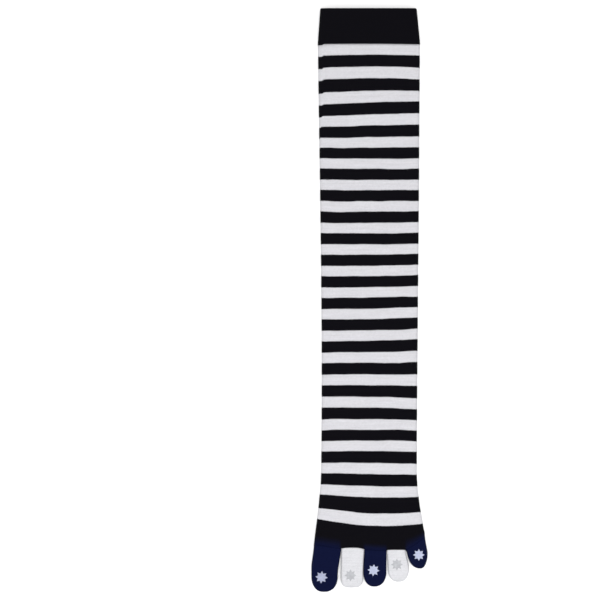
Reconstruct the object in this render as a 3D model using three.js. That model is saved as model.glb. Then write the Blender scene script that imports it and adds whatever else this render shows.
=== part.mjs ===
import * as THREE from 'three';

// A knee-high toe sock for a left foot, laid flat on its sole side with its toes towards -Y.
// It is knitted without a heel: a doubled cuff, one striped tube for the leg and foot, and five toe
// pockets side by side at the tube's end. A small star is printed over each toenail.
// The hollow runs from the mouth of the cuff into every toe. All sizes are millimetres.

// Lengths along the sock
const CUFF_LENGTH = 32;
const TUBE_LENGTH = 454.5;
const BIG_TOE_LENGTH = 40.4;

// Widths of the sock laid flat
const CUFF_MOUTH_WIDTH = 86.8;
const CALF_WIDTH = 91.8;
const ANKLE_WIDTH = 86.0;
const TOE_LINE_WIDTH = 100.3;

// Thickness of the knit, and how far the two layers stand apart
const KNIT_WALL = 1.2;
const CUFF_WALL = 1.9;
const AIR_GAP = 5.2;
const TUBE_CROWN = 1.0;
const TOE_CROWN = 0.7;

// Clearances
const JOIN_GAP = 0.3;
const TOE_GAP = 0.4;
const STAR_SEAT = 0.2;

// The printed stars
const STAR_DIAMETER = 10.8;
const STAR_THICKNESS = 0.4;
const STAR_POINTS = 8;
const STAR_NOTCH = 0.65;

// The top of the tube and of the cuff. Under the upper layers both hollows end at the same height.
const LAID_HEIGHT = AIR_GAP + 2 * KNIT_WALL;
const CUFF_HEIGHT = AIR_GAP + KNIT_WALL + CUFF_WALL;
const CUFF_FOLD = CUFF_WALL / 3;
const CUFF_LEAN = 0.01;

// The pockets start square where they meet, follow the toe line, and thin towards their tips. The first
// number is the radius of a square corner, and the others are shares of a pocket's length.
const CROTCH_RADIUS = 1.0;
const ROUND_BY = 0.3;
const STRAIGHT_BY = 0.35;
const THIN_FROM = 0.72;
const THIN_BLUNT = 2.4;

// One row for each toe pocket, from the big toe to the little one. wide is its share of the toe line and
// long its length as a share of the big toe's. left and right say how far each side has moved, as a share
// of the width, where the tip starts to round, and tip where the tip's end lies between them. round is
// the share of the length that the rounded tip takes, and blunt its exponent, where 2 is an ellipse. rise
// is how far up the sock the pocket's left side starts, as a share of its length. star_along and
// star_aside place the star.
const TOES = [
  { name: 'big_toe', wide: 0.247, long: 1.00, rise: 0.11, left: -0.09, right: -0.09, tip: 0.47,
    round: 0.36, blunt: 2.3, star_along: 0.69, star_aside: -0.11 },
  { name: 'second_toe', wide: 0.211, long: 0.83, rise: 0.03, left: -0.05, right: -0.06, tip: 0.48,
    round: 0.33, blunt: 2.9, star_along: 0.70, star_aside: -0.03 },
  { name: 'middle_toe', wide: 0.198, long: 0.81, rise: 0.01, left: -0.07, right: 0.03, tip: 0.47,
    round: 0.40, blunt: 2.2, star_along: 0.55, star_aside: -0.09 },
  { name: 'fourth_toe', wide: 0.174, long: 0.68, rise: -0.03, left: 0.05, right: 0.15, tip: 0.52,
    round: 0.42, blunt: 2.3, star_along: 0.44, star_aside: -0.06 },
  { name: 'little_toe', wide: 0.170, long: 0.55, rise: 0.00, left: 0.07, right: 0.12, tip: 0.62,
    round: 0.60, blunt: 2.2, star_along: 0.43, star_aside: 0.06 },
];
for (const toe of TOES) {
  toe.width = toe.wide * (TOE_LINE_WIDTH - TOE_GAP * (TOES.length - 1));
  toe.length = toe.long * BIG_TOE_LENGTH;
}
const [BIG_TOE] = TOES;
const LITTLE_TOE = TOES.at(-1);
const OUTER_RISE = 11;

// Half widths of the tube to either side of the leg's centre line, as shares of the width named in the
// row. along is the share of the tube's length, up from the toes.
const TUBE_SECTIONS = [
  { along: 0.00, width: TOE_LINE_WIDTH, left: 0.497, right: 0.503 },
  { along: 0.02, width: TOE_LINE_WIDTH, left: 0.486, right: 0.494 },
  { along: 0.05, width: TOE_LINE_WIDTH, left: 0.467, right: 0.480 },
  { along: 0.09, width: TOE_LINE_WIDTH, left: 0.450, right: 0.453 },
  { along: 0.14, width: ANKLE_WIDTH, left: 0.504, right: 0.502 },
  { along: 0.20, width: ANKLE_WIDTH, left: 0.500, right: 0.500 },
  { along: 0.27, width: ANKLE_WIDTH, left: 0.497, right: 0.502 },
  { along: 0.41, width: ANKLE_WIDTH, left: 0.497, right: 0.508 },
  { along: 0.53, width: CALF_WIDTH, left: 0.470, right: 0.481 },
  { along: 0.66, width: CALF_WIDTH, left: 0.478, right: 0.487 },
  { along: 0.78, width: CALF_WIDTH, left: 0.486, right: 0.491 },
  { along: 0.88, width: CALF_WIDTH, left: 0.494, right: 0.494 },
  { along: 1.00, width: CALF_WIDTH, left: 0.502, right: 0.498 },
].map((row) => ({ along: row.along, left: row.left * row.width, right: row.right * row.width }));

// How the knitted rows bend where the sock lies a little pulled. A row's right end lies rise + tilt above
// its middle and its left end rise - tilt, as shares of the calf's width.
const ROW_BENDS = [
  { along: 0.05, tilt: -0.022, rise: 0.042 },
  { along: 0.10, tilt: -0.012, rise: 0.017 },
  { along: 0.20, tilt: -0.005, rise: -0.009 },
  { along: 0.29, tilt: -0.010, rise: -0.012 },
  { along: 0.43, tilt: 0.011, rise: 0.005 },
  { along: 0.60, tilt: 0.001, rise: 0.006 },
  { along: 0.78, tilt: -0.003, rise: 0.004 },
  { along: 0.87, tilt: 0.013, rise: -0.003 },
  { along: 0.93, tilt: 0.002, rise: -0.013 },
  { along: 1.00, tilt: -0.001, rise: -0.004 },
].map((row) => ({ along: row.along, tilt: row.tilt * CALF_WIDTH, rise: row.rise * CALF_WIDTH }));

// Soft swells of the upper layer, where air lies under it. aside and spread are shares of the half width,
// along and reach of the tube's length, and height of the gap between the layers.
const SWELLS = [
  { along: 0.07, reach: 0.07, aside: -0.35, spread: 0.6, height: 0.10 },
  { along: 0.17, reach: 0.05, aside: 0.30, spread: 0.7, height: 0.07 },
  { along: 0.29, reach: 0.06, aside: 0.45, spread: 0.6, height: 0.12 },
  { along: 0.42, reach: 0.07, aside: -0.30, spread: 0.8, height: 0.08 },
  { along: 0.56, reach: 0.08, aside: 0.35, spread: 0.7, height: 0.07 },
  { along: 0.71, reach: 0.07, aside: -0.40, spread: 0.7, height: 0.08 },
  { along: 0.87, reach: 0.06, aside: 0.30, spread: 0.7, height: 0.13 },
];

// How finely the surfaces are divided
const TUBE_RINGS = 34;
const TUBE_FACETS = { flat: 11, side: 6 };
const TOE_FACETS = { flat: 4, side: 6 };
const CUFF_RINGS = [0, 0.33, 0.66];
const TOE_RINGS = [0, 0.08, 0.2, 0.34, 0.48, 0.6, 0.71, 0.8, 0.88, 0.94, 0.98];
const RING_CROWDING = 1.25;
const ROUNDEST = 0.98;

const ease = (share) => THREE.MathUtils.smoothstep(share, 0, 1);
const hill = (distance) => (Math.abs(distance) < 1 ? (1 + Math.cos(Math.PI * distance)) / 2 : 0);
const roundedTo = (share, from, blunt) => {
  const past = THREE.MathUtils.clamp((share - from) / (1 - from), 0, 1);
  return (1 - past ** blunt) ** (1 / blunt);
};

// One column of a table at a place between its rows, on a smooth curve through them.
function columnAt(rows, column, along) {
  const last = rows.length - 1;
  const slope = (i) => {
    const before = rows[Math.max(i - 1, 0)];
    const after = rows[Math.min(i + 1, last)];
    return (after[column] - before[column]) / (after.along - before.along);
  };
  const at = THREE.MathUtils.clamp(along, rows[0].along, rows[last].along);
  const i = Math.min(rows.findLastIndex((row) => row.along <= at), last - 1);
  const span = rows[i + 1].along - rows[i].along;
  const t = (at - rows[i].along) / span;
  const startWeight = (1 + 2 * t) * (1 - t) ** 2;
  const startPull = t * (1 - t) ** 2 * span;
  const endPull = t * t * (t - 1) * span;
  return startWeight * rows[i][column] + (1 - startWeight) * rows[i + 1][column]
    + startPull * slope(i) + endPull * slope(i + 1);
}

// The points round a flattened section, against the clock as seen from the toes: along the sole, up the
// right side, back over the top and down the left side. A side's radius may be anything up to half the
// height, and inset moves the whole section inwards by a wall. The crown lifts the upper layer alone.
function flatSection({ left, right, base, height, crown, leftRadius, rightRadius }, facets, inset = 0) {
  const x0 = left + inset;
  const x1 = right - inset;
  const z0 = base + inset;
  const z1 = base + height - inset;
  const roundest = ROUNDEST * Math.min(z1 - z0, x1 - x0) / 2;
  const radiusOf = (radius) => Math.min(Math.max(radius - inset, CROTCH_RADIUS / 2), roundest);
  const r0 = radiusOf(leftRadius);
  const r1 = radiusOf(rightRadius);
  const points = [];
  const put = (x, z) => {
    const aside = (2 * x - left - right) / (right - left);
    const upper = ease(2 * (z - base) / height - 0.5);
    points.push({ x, z: z + crown * (1 - aside * aside) * upper, aside, upper });
  };
  for (let i = 0; i <= facets.flat; i++) {
    put(THREE.MathUtils.lerp(x0 + r0, x1 - r1, i / facets.flat), z0);
  }
  for (let i = 0; i < facets.side; i++) {
    const angle = Math.PI * ((i + 0.5) / facets.side - 0.5);
    const middle = angle < 0 ? z0 + r1 : z1 - r1;
    put(x1 - r1 + r1 * Math.cos(angle), middle + r1 * Math.sin(angle));
  }
  for (let i = 0; i <= facets.flat; i++) {
    put(THREE.MathUtils.lerp(x1 - r1, x0 + r0, i / facets.flat), z1);
  }
  for (let i = 0; i < facets.side; i++) {
    const angle = Math.PI * ((i + 0.5) / facets.side - 0.5);
    const middle = angle < 0 ? z1 - r0 : z0 + r0;
    put(x0 + r0 - r0 * Math.cos(angle), middle - r0 * Math.sin(angle));
  }
  return points;
}

// A closed wall between an outer and an inner surface, each given as rings that run up the sock. Where
// tips are given, the lower ends close on those two points and the wall is a pocket; else it is a tube.
function wallGeometry(outer, inner, tips = null) {
  const positions = [];
  const around = outer[0].length;
  const triangle = (a, b, c) => positions.push(...a.toArray(), ...b.toArray(), ...c.toArray());
  const quad = (a, b, c, d) => {
    triangle(a, b, c);
    triangle(a, c, d);
  };
  for (let i = 0; i < around; i++) {
    const next = (i + 1) % around;
    for (let ring = 0; ring + 1 < outer.length; ring++) {
      quad(outer[ring][i], outer[ring + 1][i], outer[ring + 1][next], outer[ring][next]);
      quad(inner[ring][i], inner[ring][next], inner[ring + 1][next], inner[ring + 1][i]);
    }
    quad(outer.at(-1)[i], inner.at(-1)[i], inner.at(-1)[next], outer.at(-1)[next]);
    if (tips) {
      triangle(tips.outer, outer[0][i], outer[0][next]);
      triangle(tips.inner, inner[0][next], inner[0][i]);
    } else {
      quad(outer[0][i], outer[0][next], inner[0][next], inner[0][i]);
    }
  }
  const geometry = new THREE.BufferGeometry();
  geometry.setAttribute('position', new THREE.Float32BufferAttribute(positions, 3));
  geometry.computeVertexNormals();
  return geometry;
}

// The places where the toes stand on the tube's end, and the height of the line that they start from.
const TOE_LINE = [];
let nextLeft = -TUBE_SECTIONS[0].left;
for (const toe of TOES) {
  TOE_LINE.push({ along: nextLeft, height: toe.rise * toe.length });
  toe.start = nextLeft;
  toe.end = nextLeft + toe.width;
  nextLeft = toe.end + TOE_GAP;
}
TOE_LINE.push({ along: LITTLE_TOE.end, height: OUTER_RISE });
const toeLineAt = (x) => columnAt(TOE_LINE, 'height', x);

function tubeSection(along) {
  return {
    left: -columnAt(TUBE_SECTIONS, 'left', along),
    right: columnAt(TUBE_SECTIONS, 'right', along),
    base: 0,
    height: LAID_HEIGHT,
    crown: TUBE_CROWN,
    leftRadius: LAID_HEIGHT / 2,
    rightRadius: LAID_HEIGHT / 2,
  };
}

// How far a knitted row lies above its middle, at a place aside from -1 to 1. Close to the toes the rows
// follow the line that the toes start from.
function rowLift(along, aside, x) {
  const bend = columnAt(ROW_BENDS, 'tilt', along) * aside + columnAt(ROW_BENDS, 'rise', along) * aside ** 2;
  return THREE.MathUtils.lerp(toeLineAt(x), bend, ease(along / ROW_BENDS[0].along));
}

function swellAt(along, aside) {
  return SWELLS.reduce((sum, swell) => sum + swell.height * AIR_GAP
    * hill((along - swell.along) / swell.reach) * hill((aside - swell.aside) / swell.spread), 0);
}

function tubeRing(along, inset) {
  const section = tubeSection(along);
  return flatSection(section, TUBE_FACETS, inset).map(({ x, z, aside, upper }) => new THREE.Vector3(
    x, along * TUBE_LENGTH + rowLift(along, aside, x), z + swellAt(along, aside) * upper));
}

// The striped tube of the leg and foot, open at both ends.
function legAndFootGeometry() {
  const places = Array.from({ length: TUBE_RINGS + 1 }, (_, i) => (i / TUBE_RINGS) ** RING_CROWDING);
  const rings = (inset) => places.map((along) => tubeRing(along, inset));
  return wallGeometry(rings(0), rings(KNIT_WALL));
}

// The doubled cuff, a little thicker than the tube that it carries on, with its folded edge rounded.
function cuffRing(up, inset) {
  const seam = tubeSection(1);
  const share = up / CUFF_LENGTH;
  const narrowing = 1 + (CUFF_MOUTH_WIDTH / CALF_WIDTH - 1) * share;
  const section = {
    left: seam.left * narrowing * (1 + CUFF_LEAN * share),
    right: seam.right * narrowing * (1 - CUFF_LEAN * share),
    base: 0,
    height: CUFF_HEIGHT,
    crown: TUBE_CROWN,
    leftRadius: CUFF_HEIGHT / 2,
    rightRadius: CUFF_HEIGHT / 2,
  };
  const start = TUBE_LENGTH + JOIN_GAP + up;
  return flatSection(section, TUBE_FACETS, inset)
    .map(({ x, z, aside }) => new THREE.Vector3(x, start + (1 - share) * rowLift(1, aside, x), z));
}

function cuffGeometry() {
  const wall = (inset) => CUFF_RINGS.map((share) => cuffRing(share * CUFF_LENGTH, inset));
  const fold = (inset, foldInset) => [
    cuffRing(CUFF_LENGTH - CUFF_FOLD, inset),
    cuffRing(CUFF_LENGTH, foldInset),
  ];
  const outer = [...wall(0), ...fold(0, CUFF_FOLD)];
  const inner = [...wall(CUFF_WALL), ...fold(CUFF_WALL, CUFF_WALL - CUFF_FOLD)];
  return wallGeometry(outer, inner);
}

// A toe pocket's section at a share of its length, from 0 where it joins the tube to 1 at its tip. Beside
// a neighbour it starts nearly square, so that the pockets fill the tube's end, and soon turns round.
function toeSection(toe, share) {
  const roundFrom = 1 - toe.round;
  const widthLeft = roundedTo(share, roundFrom, toe.blunt);
  const heightLeft = roundedTo(share, THIN_FROM, THIN_BLUNT);
  const moved = ease(share / roundFrom);
  const left = toe.start + moved * toe.left * toe.width;
  const right = toe.end + moved * toe.right * toe.width;
  const middle = THREE.MathUtils.lerp(left, right, toe.tip);
  const height = LAID_HEIGHT * heightLeft;
  const sideRadius = THREE.MathUtils.lerp(CROTCH_RADIUS, height / 2, ease(share / ROUND_BY));
  return {
    left: middle - (middle - left) * widthLeft,
    right: middle + (right - middle) * widthLeft,
    base: (LAID_HEIGHT - height) / 2,
    height,
    crown: TOE_CROWN * heightLeft,
    leftRadius: toe === BIG_TOE ? height / 2 : sideRadius,
    rightRadius: toe === LITTLE_TOE ? height / 2 : sideRadius,
  };
}

// How far up the sock a point of a pocket lies. The pocket starts on the toe line and straightens out.
function toeHeight(toe, share, x) {
  const middle = (toe.start + toe.end) / 2;
  const start = THREE.MathUtils.lerp(toeLineAt(x), toeLineAt(middle), ease(share / STRAIGHT_BY));
  return start - JOIN_GAP - share * toe.length;
}

function toeGeometry(toe) {
  const innerLength = 1 - KNIT_WALL / toe.length;
  const rings = (inset, reach) => TOE_RINGS.map((share) => {
    const section = toeSection(toe, share);
    return flatSection(section, TOE_FACETS, inset)
      .map(({ x, z }) => new THREE.Vector3(x, toeHeight(toe, share * reach, x), z));
  }).reverse();
  const tip = (reach) => {
    const { left, right } = toeSection(toe, 1);
    const x = (left + right) / 2;
    return new THREE.Vector3(x, toeHeight(toe, reach, x), LAID_HEIGHT / 2);
  };
  return wallGeometry(rings(0, 1), rings(KNIT_WALL, innerLength), { outer: tip(1), inner: tip(innerLength) });
}

// A thin printed star that lies on the pocket's crowned top.
function starGeometry(toe) {
  const { left, right } = toeSection(toe, toe.star_along);
  const centreX = (left + right) / 2 + toe.star_aside * toe.width;
  const centreY = toeHeight(toe, toe.star_along, centreX);
  const corners = [{ x: 0, y: 0 }];
  for (let i = 0; i < 2 * STAR_POINTS; i++) {
    const angle = Math.PI * i / STAR_POINTS + Math.PI / 2;
    const reach = STAR_DIAMETER / 2 * (i % 2 ? STAR_NOTCH : 1);
    corners.push({ x: reach * Math.cos(angle), y: reach * Math.sin(angle) });
  }
  const layer = (lift) => corners.map(({ x, y }) => {
    const section = toeSection(toe, toe.star_along - y / toe.length);
    const aside = (2 * (centreX + x) - section.left - section.right) / (section.right - section.left);
    const top = section.base + section.height + section.crown * (1 - aside * aside);
    return new THREE.Vector3(centreX + x, centreY + y, top + lift);
  });
  const under = layer(STAR_SEAT);
  const over = layer(STAR_SEAT + STAR_THICKNESS);
  const positions = [];
  const triangle = (a, b, c) => positions.push(...a.toArray(), ...b.toArray(), ...c.toArray());
  for (let i = 1; i < corners.length; i++) {
    const next = i === corners.length - 1 ? 1 : i + 1;
    triangle(over[0], over[i], over[next]);
    triangle(under[0], under[next], under[i]);
    triangle(under[i], under[next], over[next]);
    triangle(under[i], over[next], over[i]);
  }
  const geometry = new THREE.BufferGeometry();
  geometry.setAttribute('position', new THREE.Float32BufferAttribute(positions, 3));
  geometry.computeVertexNormals();
  return geometry;
}

// Yarns and print, with the colours seen in daylight
const knit = (color) => new THREE.MeshStandardMaterial({ color, roughness: 0.92, metalness: 0 });
const blackKnit = knit(0x111015);
const stripedKnit = knit(0x8a8990);
const navyKnit = knit(0x111633);
const whiteKnit = knit(0xdfdee3);
const silverPrint = new THREE.MeshStandardMaterial({ color: 0xc6c8d2, roughness: 0.55, metalness: 0.1 });

const sock = new THREE.Group();
sock.name = 'toe_sock';

function addPiece(name, geometry, material) {
  const piece = new THREE.Mesh(geometry, material);
  piece.name = name;
  sock.add(piece);
}

addPiece('cuff', cuffGeometry(), blackKnit);
addPiece('leg_and_foot', legAndFootGeometry(), stripedKnit);
TOES.forEach((toe, i) => {
  addPiece(toe.name, toeGeometry(toe), i % 2 ? whiteKnit : navyKnit);
  addPiece(`${toe.name}_star`, starGeometry(toe), silverPrint);
});

// The origin is on the floor, under the middle of the laid sock.
const reach = new THREE.Box3().setFromObject(sock);
const middle = reach.getCenter(new THREE.Vector3());
sock.position.set(-middle.x, -middle.y, -reach.min.z);

export default sock;
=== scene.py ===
from functools import partial
from math import cos, pi, radians, sin

import bpy
import numpy as np
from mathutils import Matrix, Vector


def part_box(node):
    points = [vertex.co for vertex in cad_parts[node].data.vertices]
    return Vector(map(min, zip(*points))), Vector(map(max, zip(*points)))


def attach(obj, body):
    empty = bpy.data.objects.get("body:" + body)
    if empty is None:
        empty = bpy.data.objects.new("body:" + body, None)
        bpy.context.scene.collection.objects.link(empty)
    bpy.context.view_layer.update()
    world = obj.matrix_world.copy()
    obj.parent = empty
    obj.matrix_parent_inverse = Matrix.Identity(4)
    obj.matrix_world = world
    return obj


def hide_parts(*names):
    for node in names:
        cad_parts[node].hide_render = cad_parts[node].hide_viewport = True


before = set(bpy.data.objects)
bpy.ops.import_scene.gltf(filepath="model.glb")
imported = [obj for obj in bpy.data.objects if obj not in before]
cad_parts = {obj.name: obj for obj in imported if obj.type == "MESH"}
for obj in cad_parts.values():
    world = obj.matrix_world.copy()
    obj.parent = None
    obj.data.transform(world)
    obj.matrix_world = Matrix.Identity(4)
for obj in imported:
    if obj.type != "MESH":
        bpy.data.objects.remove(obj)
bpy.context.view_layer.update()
MM = 0.001

# The view: straight down on the laid sock, which lies to the right of the middle of the picture. The
# camera's distance gives each pixel of the picture its size on the sock.
PICTURE_PIXELS = 600
PIXEL_ON_SOCK = 0.9 * MM
LENS, SENSOR = 300, 36
VIEW_CENTRE = (-62.4 * MM, 0.25 * MM)
SEEN_HEIGHT = 4 * MM

camera_height = PICTURE_PIXELS * PIXEL_ON_SOCK * LENS / SENSOR + SEEN_HEIGHT
bpy.ops.object.camera_add(location=(*VIEW_CENTRE, camera_height), rotation=(0, 0, 0))
camera = bpy.context.object
camera.data.lens = LENS
camera.data.sensor_width = SENSOR
camera.data.clip_start = 0.01
bpy.context.scene.camera = camera

# The floor and the light: plain near-white paper in an even bright room. A far lamp over the leg gives
# the knit a little shape and no shadow beside it, and weak ones light the toes and both sides.
FLOOR_DROP = 0.3 * MM
PAPER_SIZE = 8
PAPER_WHITE = (0.93, 0.93, 0.93, 1)
ROOM_LIGHT = 0.70
LAMPS = [
    {"name": "Key lamp", "place": (-0.20, 0.10, 5.00), "size": 1.2, "watts": 114.0},
    {"name": "Toe lamp", "place": (0.10, -0.50, 1.00), "size": 0.5, "watts": 3.3},
    {"name": "Left lamp", "place": (-1.60, -0.10, 1.60), "size": 1.2, "watts": 4.6},
    {"name": "Right lamp", "place": (1.60, -0.10, 1.60), "size": 1.2, "watts": 4.6},
]

bpy.ops.mesh.primitive_plane_add(size=PAPER_SIZE, location=(0, 0, -FLOOR_DROP))
floor = bpy.context.object
floor.name = "Floor"
paper = bpy.data.materials.new("White paper")
paper.use_nodes = True
paper_shader = paper.node_tree.nodes["Principled BSDF"]
paper_shader.inputs["Base Color"].default_value = PAPER_WHITE
paper_shader.inputs["Roughness"].default_value = 1.0
paper_shader.inputs["Specular IOR Level"].default_value = 0.0
floor.data.materials.append(paper)

room = bpy.data.worlds.new("Bright room")
room.use_nodes = True
room.node_tree.nodes["Background"].inputs["Color"].default_value = (1, 1, 1, 1)
room.node_tree.nodes["Background"].inputs["Strength"].default_value = ROOM_LIGHT
bpy.context.scene.world = room
bpy.context.scene.view_settings.view_transform = "Standard"

for row in LAMPS:
    bpy.ops.object.light_add(type="AREA", location=row["place"])
    lamp = bpy.context.object
    lamp.name = row["name"]
    lamp.data.shape = "DISK"
    lamp.data.size = row["size"]
    lamp.data.energy = row["watts"]
    lamp.rotation_euler = Vector(row["place"]).to_track_quat("Z", "Y").to_euler()


# The leg and foot: one knitted tube without a heel, 549 courses of black and white cotton on 156 wales,
# laid flat. It is made as a flat knitted grid that is rolled up, each course where the laid sock has it.
WALES = 156
COURSES = 549
STRIPE_COURSES = 12
FOOT_BAND, LAST_WHITE, LAST_BLACK = 26, 14, 17
FIRST_STRIPE = FOOT_BAND + LAST_WHITE + LAST_BLACK
ANKLE_WIDTH = 86.0 * MM
CALF_WIDTH = 91.8 * MM
TUBE_LENGTH = 454.5 * MM
KNIT_WALL = 1.2 * MM
AIR_GAP = 5.2 * MM
TUBE_COLUMNS = 144
TUBE_ROWS = COURSES // 3

leg_low, leg_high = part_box("leg_and_foot")
TOE_LINE_WIDTH = leg_high.x - leg_low.x
LAID_HEIGHT = leg_low.z + AIR_GAP + 2 * KNIT_WALL
LEG_LINE = leg_low.x + 0.497 * TOE_LINE_WIDTH
TOE_LINE = leg_high.y - TUBE_LENGTH

# How the empty tube lies: the width of its side folds by their height, how far its middle rises, and
# the points that draw each half of a fold and each flat side
SIDE_FOLD = 0.6
CROWN = 1.0 * MM
FOLD_POINTS = 10
FLAT_POINTS = 58

# The black yarn spreads a little into the white stripes, courses waver, and the cloth ripples. All this
# dies out towards the tube's two ends, given as shares of its length.
BLACK_SPREAD = 0.25 * MM
WAVER = 0.28 * MM
RIPPLE = 0.12 * MM
TOE_END, CUFF_END = 0.04, 0.03

# The round of the knitting ends in a short step in the courses, which fades out in the foot. The courses
# sink by as much over the back, from the share BACK_BEGINS of the way round, over BACK_REACH of it.
STEP = 1.05 * MM
STEP_WIDTH = 1.6 * MM
STEP_FADES = 0.06
BACK_BEGINS, BACK_REACH = 0.5, 0.45

# Half widths to either side of the leg's line, by the share of the tube's length from the toe line
HALF_WIDTHS = np.array([
    # along, left, right
    (0.00, 0.497 * TOE_LINE_WIDTH, 0.503 * TOE_LINE_WIDTH),
    (0.02, 0.486 * TOE_LINE_WIDTH, 0.497 * TOE_LINE_WIDTH),
    (0.05, 0.467 * TOE_LINE_WIDTH, 0.482 * TOE_LINE_WIDTH),
    (0.09, 0.450 * TOE_LINE_WIDTH, 0.453 * TOE_LINE_WIDTH),
    (0.14, 0.504 * ANKLE_WIDTH, 0.502 * ANKLE_WIDTH),
    (0.20, 0.500 * ANKLE_WIDTH, 0.500 * ANKLE_WIDTH),
    (0.27, 0.497 * ANKLE_WIDTH, 0.502 * ANKLE_WIDTH),
    (0.41, 0.497 * ANKLE_WIDTH, 0.508 * ANKLE_WIDTH),
    (0.53, 0.470 * CALF_WIDTH, 0.481 * CALF_WIDTH),
    (0.66, 0.478 * CALF_WIDTH, 0.487 * CALF_WIDTH),
    (0.78, 0.486 * CALF_WIDTH, 0.491 * CALF_WIDTH),
    (0.88, 0.494 * CALF_WIDTH, 0.494 * CALF_WIDTH),
    (1.00, 0.502 * CALF_WIDTH, 0.498 * CALF_WIDTH),
])

# Where the courses lie: counted from the toe line, and as a share of the tube's length
COURSE_PLACES = np.array([
    # course, along
    (0, 0.0),
    (26, 0.0480),
    (40, 0.0721),
    (57, 0.1034),
    (81, 0.1495),
    (105, 0.1947),
    (117, 0.2160),
    (129, 0.2366),
    (177, 0.3253),
    (225, 0.4133),
    (309, 0.5622),
    (417, 0.7535),
    (453, 0.8168),
    (489, 0.8848),
    (525, 0.9564),
    (549, 1.0013),
])

# How a course bends: its right end lies rise + tilt above its middle and its left end rise - tilt
COURSE_BENDS = np.array([
    # along, tilt, rise, both as shares of the calf's width
    (0.05, -0.022, 0.042),
    (0.10, -0.012, 0.017),
    (0.20, -0.005, -0.009),
    (0.285, -0.004, -0.004),
    (0.35, -0.002, -0.006),
    (0.43, 0.011, 0.005),
    (0.60, 0.003, 0.005),
    (0.78, 0.000, 0.002),
    (0.87, 0.015, -0.004),
    (0.93, 0.004, -0.014),
    (1.00, -0.001, -0.004),
])

# Where the laid knit is pulled up or down a little: along and reach by the tube's length, aside and
# spread by half its width
PULLS = np.array([
    # along, reach, aside, spread, lift in mm
    (0.075, 0.050, -0.65, 0.60, 1.00),
    (0.220, 0.050, 0.75, 0.90, 1.05),
    (0.245, 0.040, -0.60, 0.50, 0.50),
    (0.290, 0.035, 0.90, 0.50, -0.90),
    (0.368, 0.045, 0.95, 0.35, 1.10),
    (0.433, 0.025, 0.60, 0.50, -0.50),
    (0.490, 0.030, -0.45, 0.40, 0.45),
    (0.497, 0.020, 0.95, 0.30, -0.60),
    (0.623, 0.030, 0.50, 0.90, -0.30),
    (0.665, 0.080, -0.55, 0.50, -0.40),
    (0.689, 0.030, 0.60, 0.50, 0.40),
    (0.752, 0.045, 0.60, 0.50, -0.50),
    (0.837, 0.140, -0.50, 0.50, -0.50),
])

# Soft swells of the upper layer, where air lies under it, placed as the pulls are
SWELLS = np.array([
    # along, reach, aside, spread, height in mm
    (0.07, 0.07, -0.35, 0.6, 0.52),
    (0.17, 0.05, 0.30, 0.7, 0.36),
    (0.29, 0.06, 0.45, 0.6, 0.62),
    (0.42, 0.07, -0.30, 0.8, 0.42),
    (0.56, 0.08, 0.35, 0.7, 0.36),
    (0.71, 0.07, -0.40, 0.7, 0.42),
    (0.87, 0.06, 0.30, 0.7, 0.68),
])

# The line that the toes start from. It is arched over the white toes and dips between them.
TOE_LINE_BEND = np.array([
    # aside as a share of the toe line's width, and up in mm
    (-0.497, 4.6),
    (-0.400, 3.1),
    (-0.250, 1.4),
    (-0.210, 1.8),
    (-0.100, 1.8),
    (-0.050, 0.8),
    (-0.020, 0.3),
    (0.140, -0.5),
    (0.165, -0.2),
    (0.200, 0.0),
    (0.300, 0.0),
    (0.335, 0.1),
    (0.400, 3.45),
    (0.503, 11.0),
])

# Where the round of the knitting starts: on the front near the cuff, and from there over the left edge to
# the back further down
ROUND_START = np.array([
    # along, way from the left edge in mm
    (0.0, -16.0),
    (0.5, -7.0),
    (0.77, 0.2),
    (0.81, 1.6),
    (0.84, 3.4),
    (0.88, 5.6),
    (0.93, 6.2),
    (1.0, 5.9),
])


def smooth_column(table, column, at):
    """A column of a table between its rows, on a smooth curve through them."""
    keys, values = table[:, 0], table[:, column]
    slopes = np.empty(len(keys))
    slopes[1:-1] = (values[2:] - values[:-2]) / (keys[2:] - keys[:-2])
    slopes[0] = (values[1] - values[0]) / (keys[1] - keys[0])
    slopes[-1] = (values[-1] - values[-2]) / (keys[-1] - keys[-2])
    at = np.clip(at, keys[0], keys[-1])
    i = np.clip(np.searchsorted(keys, at, side="right") - 1, 0, len(keys) - 2)
    span = keys[i + 1] - keys[i]
    t = (at - keys[i]) / span
    start = (1 + 2 * t) * (1 - t) ** 2
    pull = t * (1 - t) ** 2 * span * slopes[i] + t * t * (t - 1) * span * slopes[i + 1]
    return start * values[i] + (1 - start) * values[i + 1] + pull


def ease(share):
    """A soft step from 0 to 1."""
    share = np.clip(share, 0, 1)
    return share * share * (3 - 2 * share)


def hill(distance):
    """A soft bump, 1 high at 0 and flat from 1 on."""
    return np.where(np.abs(distance) < 1, (1 + np.cos(pi * distance)) / 2, 0)


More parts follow.
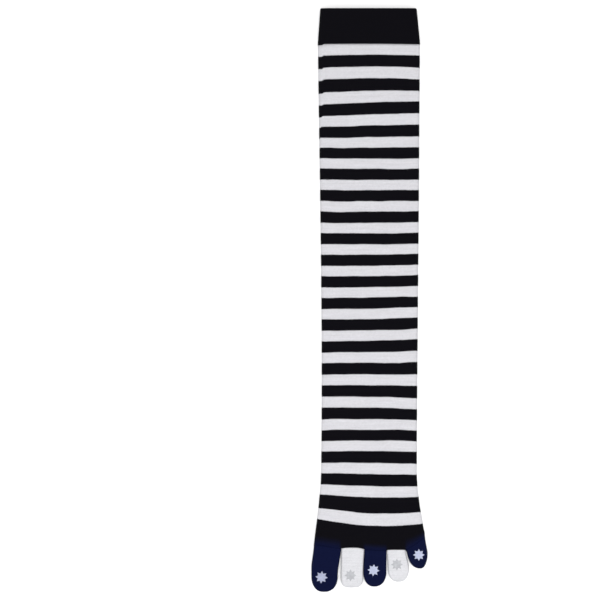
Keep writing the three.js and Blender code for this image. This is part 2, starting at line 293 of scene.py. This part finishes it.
def laid_outline(left, right, height, crown, base=0.0, folds=(None, None), tight=SIDE_FOLD):
    """A laid section's outline from its left edge over the top and back under: x, z, aside and upper.

    folds are the radii of its two side folds, half its height where None, and tight their width by it."""
    most = 0.499 * min(height, right - left)
    left_fold, right_fold = (most if fold is None else min(fold, most) for fold in folds)
    left_wide, right_wide = left_fold * tight, right_fold * tight
    top = base + height
    turn = np.linspace(0, pi / 2, FOLD_POINTS)
    across = np.linspace(0, 1, FLAT_POINTS + 2)[1:-1]
    flat = right - right_wide - left - left_wide
    x = np.concatenate([
        left + left_wide - left_wide * np.cos(turn),
        left + left_wide + flat * across,
        right - right_wide + right_wide * np.sin(turn),
        right - right_wide + right_wide * np.cos(turn),
        right - right_wide - flat * across,
        left + left_wide - left_wide * np.sin(turn),
    ])
    z = np.concatenate([
        top - left_fold + left_fold * np.sin(turn),
        np.full(FLAT_POINTS, top),
        top - right_fold + right_fold * np.cos(turn),
        base + right_fold - right_fold * np.sin(turn),
        np.full(FLAT_POINTS, base),
        base + left_fold - left_fold * np.cos(turn),
    ])
    aside = (2 * x - left - right) / (right - left)
    upper = ease(2 * (z - base) / height - 0.5)
    return x, z + crown * (1 - aside ** 2) * upper, aside, upper


def along_outline(outline, share, start=0.0):
    """The outline's values at shares of its way round, counted from a start, and that way's length."""
    closed = [np.append(values, values[0]) for values in outline]
    way = np.concatenate([[0], np.cumsum(np.hypot(np.diff(closed[0]), np.diff(closed[1])))])
    at = (start + share * way[-1]) % way[-1]
    return [np.interp(at, way, values) for values in closed] + [way[-1]]


def rolled_knit(name, columns, rows, place, coordinates):
    """A flat grid rolled up: place gives each ring's points, and coordinates their wales and courses."""
    bpy.ops.object.select_all(action="DESELECT")
    bpy.ops.mesh.primitive_grid_add(x_subdivisions=columns, y_subdivisions=rows, size=1)
    piece = bpy.context.object
    piece.name = piece.data.name = name
    mesh = piece.data
    flat = np.empty(3 * len(mesh.vertices))
    mesh.vertices.foreach_get("co", flat)
    around, up = flat.reshape(-1, 3)[:, 0] + 0.5, flat.reshape(-1, 3)[:, 1] + 0.5
    points = np.empty((len(mesh.vertices), 3))
    knit = np.empty((len(mesh.vertices), 2))
    for height in np.unique(up.round(5)):
        ring = np.abs(up - height) < 1e-4
        points[ring] = place(around[ring], height)
        knit[ring] = coordinates(around[ring], height, points[ring])
    mesh.vertices.foreach_set("co", points.ravel())
    corner = np.empty(len(mesh.loops), dtype=int)
    mesh.loops.foreach_get("vertex_index", corner)
    mesh.uv_layers.active.name = "Knit"
    mesh.uv_layers["Knit"].data.foreach_set("uv", knit[corner].ravel())
    bpy.ops.object.mode_set(mode="EDIT")
    bpy.ops.mesh.select_all(action="SELECT")
    bpy.ops.mesh.remove_doubles(threshold=0.01 * MM)
    bpy.ops.object.mode_set(mode="OBJECT")
    bpy.ops.object.shade_smooth()
    return piece


def even_knit(courses):
    """Coordinates for a tube with all its wales and so many courses."""
    def coordinates(share, height, points):
        return np.stack([share * WALES, np.full(len(share), height * courses)], axis=1)
    return coordinates


def give_wall(piece, thickness, even=True):
    """The knit's thickness, inwards. The inside takes the piece's second material."""
    wall = piece.modifiers.new("Knit wall", "SOLIDIFY")
    wall.thickness = thickness
    wall.offset = -1
    wall.use_even_offset = even
    wall.material_offset = 1
    bpy.ops.object.modifier_apply(modifier=wall.name)


def toe_line_at(x):
    return MM * smooth_column(TOE_LINE_BEND, 1, (x - LEG_LINE) / TOE_LINE_WIDTH)


def course_lift(along, aside, x):
    """How far a course lies above its own place. Towards the toes it takes the toe line's bend."""
    bend = CALF_WIDTH * (smooth_column(COURSE_BENDS, 1, along) * aside
                         + smooth_column(COURSE_BENDS, 2, along) * aside ** 2)
    for pull_along, reach, pull_aside, spread, lift in PULLS:
        bend = bend + lift * MM * hill((along - pull_along) / reach) * hill((aside - pull_aside) / spread)
    return toe_line_at(x) + (bend - toe_line_at(x)) * ease(along / COURSE_BENDS[0, 0])


def waver(x, y):
    """The small unevenness of a laid knit, between -1 and 1."""
    slow = np.sin(x * 97 + 3 * np.sin(y * 31)) + np.sin(y * 173 + 2 * np.sin(x * 61))
    quick = np.sin(x * 211 - y * 119 + 1.3) + 0.7 * np.sin(x * 430 + y * 260 + 2 * np.sin(y * 90))
    return (slow + quick) / 3.7


def round_step(share, way):
    """The step in a course round the tube: down along the back, and up again where the round starts."""
    right_of_start = 1 - ease(share * way / STEP_WIDTH)
    return -STEP * np.maximum(right_of_start, ease((share - BACK_BEGINS) / BACK_REACH))


def tube_ring(share, height):
    """One ring of the tube, at a share of its courses from the toe line."""
    course = COURSES * height
    along = float(smooth_column(COURSE_PLACES, 1, course))
    left = LEG_LINE - float(smooth_column(HALF_WIDTHS, 1, along))
    right = LEG_LINE + float(smooth_column(HALF_WIDTHS, 2, along))
    outline = laid_outline(left, right, LAID_HEIGHT, CROWN)
    start = MM * float(smooth_column(ROUND_START, 1, along))
    x, z, aside, upper, way = along_outline(outline, share, start)
    for swell_along, reach, swell_aside, spread, rise in SWELLS:
        z += rise * MM * upper * hill((along - swell_along) / reach) * hill((aside - swell_aside) / spread)
    y = TOE_LINE + along * TUBE_LENGTH + course_lift(along, aside, x)
    inside = ease(along / TOE_END) * ease((1 - along) / CUFF_END)
    y += BLACK_SPREAD * cos(pi * (course - FIRST_STRIPE) / STRIPE_COURSES) * inside
    y += WAVER * waver(x, y) * inside + round_step(share, way) * ease(along / STEP_FADES)
    z += RIPPLE * upper * waver(y, x) * inside
    return np.stack([x, y, z], axis=1)


leg = rolled_knit("striped_tube", TUBE_COLUMNS, TUBE_ROWS, tube_ring, even_knit(COURSES))
give_wall(leg, KNIT_WALL)

# The stitches of every knitted piece: each wale is a column of nested V-shaped loops, with painted shade
# in the hollows between them. Lengths are in wales and courses, and shades run from low to high.
LEG_RISE = 0.9
HEAD_ARC = 0.28
DRIFT = (-0.25, 0.25)
DRIFT_SCALE = 0.35
COURSE_DRIFT = 0.8
# Painted shade: how dark the colour is in the hollows between the loops, and how light on their tops
PAINTED_HOLLOW_SHADE = (0.70, 1.04)
LOOP_SHADES = (0.94, 1.02)
STREAK_SHADES = (0.90, 1.10)
STREAK_SCALE = (0.045, 0.55, 0)

stitches = bpy.data.node_groups.new("Knit stitches", "ShaderNodeTree")
for socket, kind in (("Wales and courses", "NodeSocketVector"), ("Inside", "NodeSocketFloat")):
    stitches.interface.new_socket(socket, in_out="INPUT", socket_type=kind)
for socket in ("Relief", "Shade", "Course"):
    stitches.interface.new_socket(socket, in_out="OUTPUT", socket_type="NodeSocketFloat")


def value_node(tree, operation, *inputs, clamp=False):
    """A math node on sockets or numbers, and its result."""
    node = tree.nodes.new("ShaderNodeMath")
    node.operation = operation
    node.use_clamp = clamp
    for socket, value in zip(node.inputs, inputs):
        if isinstance(value, bpy.types.NodeSocket):
            tree.links.new(value, socket)
        else:
            socket.default_value = value
    return node.outputs[0]


def noise_node(tree, vector, scale, detail=2.0):
    node = tree.nodes.new("ShaderNodeTexNoise")
    node.inputs["Scale"].default_value = scale
    node.inputs["Detail"].default_value = detail
    tree.links.new(vector, node.inputs["Vector"])
    return node.outputs["Fac"]


def build_stitches(tree):
    """Relief, shade and the course's number, from coordinates in wales and courses. The shade has painted
    shade in the hollows between the loops.
    """
    work_out = partial(value_node, tree)

    def between(low_and_high, share):
        low, high = low_and_high
        return work_out("MULTIPLY_ADD", share, high - low, low)

    given = tree.nodes.new("NodeGroupInput")
    split = tree.nodes.new("ShaderNodeSeparateXYZ")
    tree.links.new(given.outputs["Wales and courses"], split.inputs[0])
    drift = between(DRIFT, noise_node(tree, given.outputs["Wales and courses"], DRIFT_SCALE))
    wale = work_out("ADD", split.outputs["X"], drift)
    course = work_out("MULTIPLY_ADD", drift, COURSE_DRIFT, split.outputs["Y"])
    # The face of the knit: two slanting legs to each loop, with a valley between them and to each side
    side = work_out("ABSOLUTE", work_out("SUBTRACT", work_out("FRACT", wale), 0.5))
    slant = work_out("MULTIPLY_ADD", side, -2 * LEG_RISE, LEG_RISE / 2)
    loop_place = work_out("ADD", course, slant)
    across = work_out("FRACT", loop_place)
    bulge = work_out("MULTIPLY", work_out("MULTIPLY", across, 4.0), work_out("SUBTRACT", 1.0, across))
    from_leg = work_out("MULTIPLY_ADD", side, 4.0, -1.0)
    leg_round = work_out("SUBTRACT", 1.0, work_out("MULTIPLY", from_leg, from_leg))
    face = work_out("MULTIPLY", work_out("SQRT", bulge), between((0.25, 1.0), leg_round))
    # The inside of the tube: the loops' heads, as short arcs across the wales
    arc = work_out("SINE", work_out("MULTIPLY", wale, 2 * pi))
    head_place = work_out("FRACT", work_out("MULTIPLY_ADD", arc, HEAD_ARC, course))
    from_edge = work_out("SUBTRACT", 1.0, head_place)
    head = work_out("SQRT", work_out("MULTIPLY", work_out("MULTIPLY", head_place, 4.0), from_edge))
    relief = tree.nodes.new("ShaderNodeMix")
    tree.links.new(given.outputs["Inside"], relief.inputs["Factor"])
    tree.links.new(face, relief.inputs["A"])
    tree.links.new(head, relief.inputs["B"])
    # Each loop of yarn is a little lighter or darker than the next
    number = tree.nodes.new("ShaderNodeCombineXYZ")
    tree.links.new(work_out("FLOOR", wale), number.inputs[0])
    tree.links.new(work_out("FLOOR", loop_place), number.inputs[1])
    chance = tree.nodes.new("ShaderNodeTexWhiteNoise")
    chance.noise_dimensions = "2D"
    tree.links.new(number.outputs[0], chance.inputs["Vector"])
    # The yarn is a little uneven along its way, which shows as faint streaks along the courses
    along_yarn = tree.nodes.new("ShaderNodeVectorMath")
    along_yarn.operation = "MULTIPLY"
    along_yarn.inputs[1].default_value = STREAK_SCALE
    tree.links.new(given.outputs["Wales and courses"], along_yarn.inputs[0])
    streak = noise_node(tree, along_yarn.outputs[0], 1.0, 1.0)
    # The colour's shade: painted shade in the hollows between the loops, times each loop's own tone
    loop = work_out("MULTIPLY", between(PAINTED_HOLLOW_SHADE, relief.outputs[0]),
                    between(LOOP_SHADES, chance.outputs["Value"]))
    result = tree.nodes.new("NodeGroupOutput")
    tree.links.new(relief.outputs[0], result.inputs["Relief"])
    tree.links.new(work_out("MULTIPLY", loop, between(STREAK_SHADES, streak)), result.inputs["Shade"])
    tree.links.new(work_out("FLOOR", loop_place), result.inputs["Course"])


build_stitches(stitches)

# The yarns: their colours, dull cotton surface and height of a stitch, and how a toe's navy fades out
BLACK_YARN = (0.0031, 0.0028, 0.0045)
WHITE_YARN = (0.612, 0.607, 0.637)
NAVY_YARN = (0.0034, 0.0055, 0.0290)
COTTON_ROUGHNESS, COTTON_SHINE = 0.85, 0.04
STITCH_RELIEF = 0.16 * MM
FADE_EDGE = 2 * MM
FADE_POWER = 1.4


def white_courses(tree, course):
    """1 on the courses of white yarn and 0 on those of black."""
    work_out = partial(value_node, tree)
    repeat = work_out("FLOORED_MODULO", work_out("SUBTRACT", course, FIRST_STRIPE), 2.0 * STRIPE_COURSES)
    in_stripe = work_out("MULTIPLY", work_out("LESS_THAN", repeat, STRIPE_COURSES - 0.5),
                         work_out("GREATER_THAN", course, FIRST_STRIPE - 0.5))
    in_last = work_out("MULTIPLY", work_out("GREATER_THAN", course, FOOT_BAND - 0.5),
                       work_out("LESS_THAN", course, FOOT_BAND + LAST_WHITE - 0.5))
    return work_out("MAXIMUM", in_stripe, in_last)


def knit_material(name, colour, other=None, inside=0.0):
    """A matte cotton knit of one yarn, or of two where other gives the white stripes' colour."""
    material = bpy.data.materials.new(name)
    material.use_nodes = True
    tree = material.node_tree
    shader = tree.nodes["Principled BSDF"]
    shader.inputs["Roughness"].default_value = COTTON_ROUGHNESS
    shader.inputs["Specular IOR Level"].default_value = COTTON_SHINE
    coordinates = tree.nodes.new("ShaderNodeUVMap")
    coordinates.uv_map = "Knit"
    knit = tree.nodes.new("ShaderNodeGroup")
    knit.node_tree = stitches
    knit.inputs["Inside"].default_value = inside
    tree.links.new(coordinates.outputs["UV"], knit.inputs["Wales and courses"])
    yarn = tree.nodes.new("ShaderNodeMix")
    yarn.data_type = "RGBA"
    yarn.inputs["A"].default_value = (*colour, 1)
    yarn.inputs["B"].default_value = (*(other or colour), 1)
    yarn.inputs["Factor"].default_value = 0.0
    if other:
        tree.links.new(white_courses(tree, knit.outputs["Course"]), yarn.inputs["Factor"])
    # The yarn's colour times the stitches' shade, which holds painted shade in the hollows between the
    # loops
    shaded = tree.nodes.new("ShaderNodeVectorMath")
    shaded.operation = "SCALE"
    tree.links.new(yarn.outputs["Result"], shaded.inputs[0])
    tree.links.new(knit.outputs["Shade"], shaded.inputs["Scale"])
    tree.links.new(shaded.outputs[0], shader.inputs["Base Color"])
    bump = tree.nodes.new("ShaderNodeBump")
    bump.inputs["Distance"].default_value = STITCH_RELIEF
    tree.links.new(knit.outputs["Relief"], bump.inputs["Height"])
    tree.links.new(bump.outputs["Normal"], shader.inputs["Normal"])
    return material


def fade_to_navy(material, toes):
    """The navy yarn of a toe runs on into the foot's last courses, fading into the black."""
    tree = material.node_tree
    work_out = partial(value_node, tree)
    place = tree.nodes.new("ShaderNodeSeparateXYZ")
    tree.links.new(tree.nodes.new("ShaderNodeTexCoord").outputs["Object"], place.inputs[0])
    knit = next(node for node in tree.nodes if node.type == "GROUP")
    shaded = next(node for node in tree.nodes if node.type == "VECT_MATH")
    colour = shaded.inputs[0].links[0].from_socket
    for begin, end, courses in toes:
        off_middle = work_out("ABSOLUTE", work_out("SUBTRACT", place.outputs["X"], (begin + end) / 2))
        half_faded = (end - begin) / 2 / FADE_EDGE + 0.5
        across = work_out("MULTIPLY_ADD", off_middle, -1 / FADE_EDGE, half_faded, clamp=True)
        left = work_out("MULTIPLY_ADD", knit.outputs["Course"], -1 / courses, 1.0, clamp=True)
        fade = tree.nodes.new("ShaderNodeMix")
        fade.data_type = "RGBA"
        fade.inputs["B"].default_value = (*NAVY_YARN, 1)
        share = work_out("MULTIPLY", across, work_out("POWER", left, FADE_POWER))
        tree.links.new(share, fade.inputs["Factor"])
        tree.links.new(colour, fade.inputs["A"])
        colour = fade.outputs["Result"]
    tree.links.new(colour, shaded.inputs[0])


leg_knit = knit_material("Striped knit", BLACK_YARN, WHITE_YARN)
fade_to_navy(leg_knit, [
    # from, to, courses
    (LEG_LINE - 0.50 * TOE_LINE_WIDTH, LEG_LINE - 0.260 * TOE_LINE_WIDTH, 10),
    (LEG_LINE - 0.045 * TOE_LINE_WIDTH, LEG_LINE + 0.155 * TOE_LINE_WIDTH, 7),
    (LEG_LINE + 0.330 * TOE_LINE_WIDTH, LEG_LINE + 0.51 * TOE_LINE_WIDTH, 12),
])
leg.data.materials.append(leg_knit)
leg.data.materials.append(knit_material("Striped knit inside", BLACK_YARN, WHITE_YARN, inside=1.0))
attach(leg, "root")
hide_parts("leg_and_foot")


# The cuff: a doubled welt in black yarn, turned at its mouth, a little thicker than the leg and drawn in
# towards its mouth. Its section goes up the outside, over the fold, down the inside and back.
CUFF_WALL = 1.9 * MM
CUFF_MOUTH_WIDTH = 86.8 * MM
CUFF_LEAN = 0.01
CUFF_STAND = 0.25 * MM
CUFF_GAP = 0.02 * MM
FOLD_SWELL = 0.3 * MM
CUFF_COURSES = 44
CUFF_ROWS = 60
# The section by the share of the way round it: up as a share of the cuff's length, and in by its wall
CUFF_SECTION = np.array([
    # way, up, in
    (0.00, 0.0, 0.0),
    (0.47, 1.0, 0.0),
    (0.53, 1.0, 1.0),
    (0.97, 0.0, 1.0),
    (1.00, 0.0, 0.0),
])

cuff_start = TOE_LINE + COURSE_PLACES[-1, 1] * TUBE_LENGTH + CUFF_GAP
cuff_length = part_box("cuff")[1].y + FOLD_SWELL - cuff_start


def cuff_ring(share, height):
    """One ring of the cuff, at a share of the way round its section."""
    up, inward = (np.interp(height, CUFF_SECTION[:, 0], CUFF_SECTION[:, column]) for column in (1, 2))
    inset = CUFF_WALL * inward
    rise = up * (cuff_length - CUFF_WALL / 2)
    if 0 < inward < 1 and up > 0.5:
        inset = CUFF_WALL * (1 - cos(pi * inward)) / 2
        rise += CUFF_WALL / 2 * sin(pi * inward)
    up = rise / cuff_length
    narrowing = 1 + (CUFF_MOUTH_WIDTH / CALF_WIDTH - 1) * up
    left = LEG_LINE - HALF_WIDTHS[-1, 1] * narrowing * (1 + CUFF_LEAN * up) - CUFF_STAND * (1 - up)
    right = LEG_LINE + HALF_WIDTHS[-1, 2] * narrowing * (1 - CUFF_LEAN * up) + CUFF_STAND * (1 - up)
    tall = LAID_HEIGHT + CUFF_WALL - KNIT_WALL
    outline = laid_outline(left + inset, right - inset, tall - 2 * inset, CROWN, base=inset)
    x, z, aside, upper, way = along_outline(outline, share, MM * ROUND_START[-1, 1])
    y = cuff_start + rise + (1 - up) * (course_lift(1.0, aside, x) + round_step(share, way))
    return np.stack([x, y, z], axis=1)


cuff = rolled_knit("cuff_welt", TUBE_COLUMNS, CUFF_ROWS, cuff_ring, even_knit(2 * CUFF_COURSES))
cuff.data.materials.append(knit_material("Black knit", BLACK_YARN))
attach(cuff, "root")
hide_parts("cuff")


# The five toe pockets, in navy and white cotton in turn: knitted tubes side by side on the toe line, each
# closed to a rounded tip. Where two meet they start square, and soon part.
TOE_GAP = 0.4 * MM
TOE_JOIN = 0.02 * MM
TOE_CROWN = 0.7 * MM
TOE_FOLD = 0.5
CROTCH_RADIUS = 1.0 * MM
SIDE_RADIUS = 0.34
TOE_COLUMNS = 72
TOE_ROWS = 44
RING_CROWDING = 1.35
WALE = 1.15 * MM
COURSE = 0.82 * MM
TOE_WHITE_YARN = (0.643, 0.643, 0.670)

# Shares of a pocket's length: by ROUND_BY its square corners are round, by STRAIGHT_BY its courses are
# straight, and from THIN_FROM it thins towards its tip. THIN_BLUNT is that thinning's exponent.
ROUND_BY = 0.3
STRAIGHT_BY = 0.35
THIN_FROM = 0.72
THIN_BLUNT = 2.4

# One row for each pocket. wide is its share of the toe line, and longer what it has over the solid. Its
# left and right sides move by these shares of its width, and have settled at these shares of its length.
# The tip ends at the share tip of the width, its rounding takes the share round of the length, and blunt
# is the rounding's exponent, where 2 is an ellipse. flat is once round the pocket by its length with the
# turn of its tip, and area the whole cloth of its rounded shape.
TOES = [
    {"node": "big_toe", "wide": 0.249, "longer": 0.0, "left": -0.09, "right": -0.123,
     "settled": (0.46, 0.64), "tip": 0.47, "round": 0.36, "blunt": 2.3,
     "flat": (0.060, 0.043), "area": 0.00225},
    {"node": "second_toe", "wide": 0.204, "longer": 0.9 * MM, "left": -0.035, "right": -0.035,
     "settled": (0.70, 0.70), "tip": 0.48, "round": 0.30, "blunt": 3.1,
     "flat": (0.0525, 0.0385), "area": 0.00175},
    {"node": "middle_toe", "wide": 0.203, "longer": 0.0, "left": -0.044, "right": -0.01,
     "settled": (0.60, 0.60), "tip": 0.47, "round": 0.40, "blunt": 2.2,
     "flat": (0.0535, 0.0355), "area": 0.00160},
    {"node": "fourth_toe", "wide": 0.168, "longer": 0.0, "left": 0.05, "right": 0.19,
     "settled": (0.58, 0.58), "tip": 0.52, "round": 0.42, "blunt": 2.3,
     "flat": (0.049, 0.0315), "area": 0.00128},
    {"node": "little_toe", "wide": 0.176, "longer": -0.6 * MM, "left": 0.10, "right": 0.135,
     "settled": (0.62, 0.36), "tip": 0.64, "round": 0.64, "blunt": 2.1,
     "flat": (0.048, 0.026), "area": 0.00095},
]


def rounded_to(share, begin, blunt):
    """What is left of a width or height as a tip rounds off, from 1 at its begin to 0 at the end."""
    past = min(max((share - begin) / (1 - begin), 0), 1)
    return (1 - past ** blunt) ** (1 / blunt)


def toe_pocket(row, start, end, free_left, free_right):
    """A pocket between two places on the toe line. A free side has no neighbour and folds fully round."""
    width = end - start
    middle_line = TOE_LINE + toe_line_at((start + end) / 2) - TOE_JOIN
    length = middle_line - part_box(row["node"])[0].y + row["longer"]
    courses, tops = [], []

    def ring(share, height):
        down = 1 - height ** RING_CROWDING
        left = start + ease(down / row["settled"][0]) * row["left"] * width
        right = end + ease(down / row["settled"][1]) * row["right"] * width
        tip = left + (right - left) * row["tip"]
        if down > 0.9999:
            return np.tile([tip, middle_line - length, LAID_HEIGHT / 2], (len(share), 1))
        wide = rounded_to(down, 1 - row["round"], row["blunt"])
        tall = LAID_HEIGHT * rounded_to(down, THIN_FROM, THIN_BLUNT)
        radius = CROTCH_RADIUS + (SIDE_RADIUS * tall - CROTCH_RADIUS) * float(ease(down / ROUND_BY))
        folds = (None if free_left else radius, None if free_right else radius)
        outline = laid_outline(
            tip - (tip - left) * wide, tip + (right - tip) * wide, tall, TOE_CROWN * tall / LAID_HEIGHT,
            base=(LAID_HEIGHT - tall) / 2, folds=folds, tight=TOE_FOLD,
        )
        x, z, aside, upper, way = along_outline(outline, share)
        line = TOE_LINE + toe_line_at(x) - TOE_JOIN
        line += (middle_line - line) * float(ease(down / STRAIGHT_BY))
        return np.stack([x, line - down * length, z], axis=1)

    def coordinates(share, height, points):
        """Wales by the way round from the middle of the top, and courses by the way along it."""
        way = np.concatenate([[0], np.cumsum(np.hypot(np.diff(points[:, 0]), np.diff(points[:, 2])))])
        top = points[TOE_COLUMNS // 4]
        courses.append(courses[-1] + np.linalg.norm(top - tops[-1]) / COURSE if courses else 0.0)
        tops.append(top)
        return np.stack([(way - way[-1] / 4) / WALE, np.full(len(share), courses[-1])], axis=1)

    return rolled_knit(row["node"] + "_pocket", TOE_COLUMNS, TOE_ROWS, ring, coordinates)


navy_knit = knit_material("Navy knit", NAVY_YARN)
white_knit = knit_material("White knit", TOE_WHITE_YARN)
toe_start = leg_low.x
toes = []
for number, row in enumerate(TOES):
    toe_end = toe_start + row["wide"] * (TOE_LINE_WIDTH - TOE_GAP * (len(TOES) - 1))
    toe = toe_pocket(row, toe_start, toe_end, number == 0, number == len(TOES) - 1)
    give_wall(toe, KNIT_WALL, even=False)
    toe.data.materials.append(white_knit if number % 2 else navy_knit)
    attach(toe, "root")
    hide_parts(row["node"])
    toes.append(toe)
    toe_start = toe_end + TOE_GAP


# The stars: a thin print with eight points over each toenail, one point towards the cuff. It lies on the
# knit like a film, is a little worn, and takes a little of the stitches' relief and their painted hollow
# shade.
STAR_POINTS = 8
STAR_NOTCH = 0.62
EDGE_POINTS = 8
INNER_RINGS = 3
DROP_HEIGHT = 5 * MM
SMOOTH_ANGLE = 0.6
PRINT_THICKNESS = 0.18 * MM
PRINT_SEAT = 0.03 * MM
PRINT_ROUGHNESS, PRINT_SHINE = 0.55, 0.15
PRINT_RELIEF = 0.06 * MM
WEAR = 0.5
WEAR_GRAIN = 420.0
STARS = [
    # colour, size by the solid's, moved aside and up in mm, turned in degrees
    ((0.33, 0.355, 0.478), 1.04, (-0.3, 0.9), -5),
    ((0.41, 0.415, 0.437), 1.0, (-0.4, 0.2), 0),
    ((0.405, 0.435, 0.57), 1.0, (0.1, 0.2), -5),
    ((0.41, 0.415, 0.437), 1.0, (-0.2, 0.3), 0),
    ((0.405, 0.435, 0.57), 0.98, (0.0, 0.4), 0),
]


def print_material(name, colour):
    """A thin matte print. Its stitches are counted on the laid sock, from above."""
    material = bpy.data.materials.new(name)
    material.use_nodes = True
    tree = material.node_tree
    shader = tree.nodes["Principled BSDF"]
    shader.inputs["Roughness"].default_value = PRINT_ROUGHNESS
    shader.inputs["Specular IOR Level"].default_value = PRINT_SHINE
    place = tree.nodes.new("ShaderNodeTexCoord")
    loops = tree.nodes.new("ShaderNodeVectorMath")
    loops.operation = "DIVIDE"
    loops.inputs[1].default_value = (WALE, COURSE, 1)
    tree.links.new(place.outputs["Object"], loops.inputs[0])
    knit = tree.nodes.new("ShaderNodeGroup")
    knit.node_tree = stitches
    tree.links.new(loops.outputs[0], knit.inputs["Wales and courses"])
    wear = noise_node(tree, place.outputs["Object"], WEAR_GRAIN, 3.0)
    worn = value_node(tree, "MULTIPLY_ADD", wear, WEAR, 1 - WEAR / 2)
    # The print's colour takes its wear and the stitches' shade, the painted shade in their hollows
    # included
    tone = tree.nodes.new("ShaderNodeVectorMath")
    tone.operation = "SCALE"
    tone.inputs[0].default_value = colour
    tree.links.new(value_node(tree, "MULTIPLY", worn, knit.outputs["Shade"]), tone.inputs["Scale"])
    tree.links.new(tone.outputs[0], shader.inputs["Base Color"])
    bump = tree.nodes.new("ShaderNodeBump")
    bump.inputs["Distance"].default_value = PRINT_RELIEF
    tree.links.new(knit.outputs["Relief"], bump.inputs["Height"])
    tree.links.new(bump.outputs["Normal"], shader.inputs["Normal"])
    return material


def star_edge(angle):
    """How far the star's edge lies from its middle at an angle from a point, where a point is at 1."""
    half_point = pi / STAR_POINTS
    past_point = abs((angle / (2 * half_point) + 0.5) % 1 - 0.5) * 2 * half_point
    return STAR_NOTCH * sin(half_point) / (sin(past_point) + STAR_NOTCH * sin(half_point - past_point))


for row, toe, (colour, size, moved, turned) in zip(TOES, toes, STARS):
    low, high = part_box(row["node"] + "_star")
    reach = size * (high.x - low.x) / 2
    middle = ((low.x + high.x) / 2 + moved[0] * MM, (low.y + high.y) / 2 + moved[1] * MM)
    bpy.ops.object.select_all(action="DESELECT")
    bpy.ops.mesh.primitive_circle_add(
        vertices=EDGE_POINTS * STAR_POINTS, radius=1, fill_type="TRIFAN",
        location=(*middle, high.z + DROP_HEIGHT), rotation=(0, 0, radians(turned)),
    )
    star = bpy.context.object
    star.name = star.data.name = row["node"] + "_print"
    bpy.ops.object.mode_set(mode="EDIT")
    bpy.ops.mesh.select_all(action="SELECT")
    bpy.ops.mesh.subdivide(number_cuts=INNER_RINGS)
    bpy.ops.object.mode_set(mode="OBJECT")
    for vertex in star.data.vertices:
        edge = star_edge(np.arctan2(vertex.co.y, vertex.co.x) - pi / 2)
        vertex.co.x *= reach * edge
        vertex.co.y *= reach * edge
    bpy.ops.object.transform_apply(location=True, rotation=True, scale=True)
    drape = star.modifiers.new("Drape", "SHRINKWRAP")
    drape.target = toe
    drape.wrap_method = "PROJECT"
    drape.use_project_z = True
    drape.use_negative_direction = True
    drape.use_positive_direction = False
    drape.offset = PRINT_SEAT
    film = star.modifiers.new("Film", "SOLIDIFY")
    film.thickness = PRINT_THICKNESS
    film.offset = 1
    for modifier in ("Drape", "Film"):
        bpy.ops.object.modifier_apply(modifier=modifier)
    bpy.ops.object.shade_smooth_by_angle(angle=SMOOTH_ANGLE)
    star.data.materials.append(print_material("Star on the " + row["node"].replace("_", " "), colour))
    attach(star, "root")
    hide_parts(row["node"] + "_star")
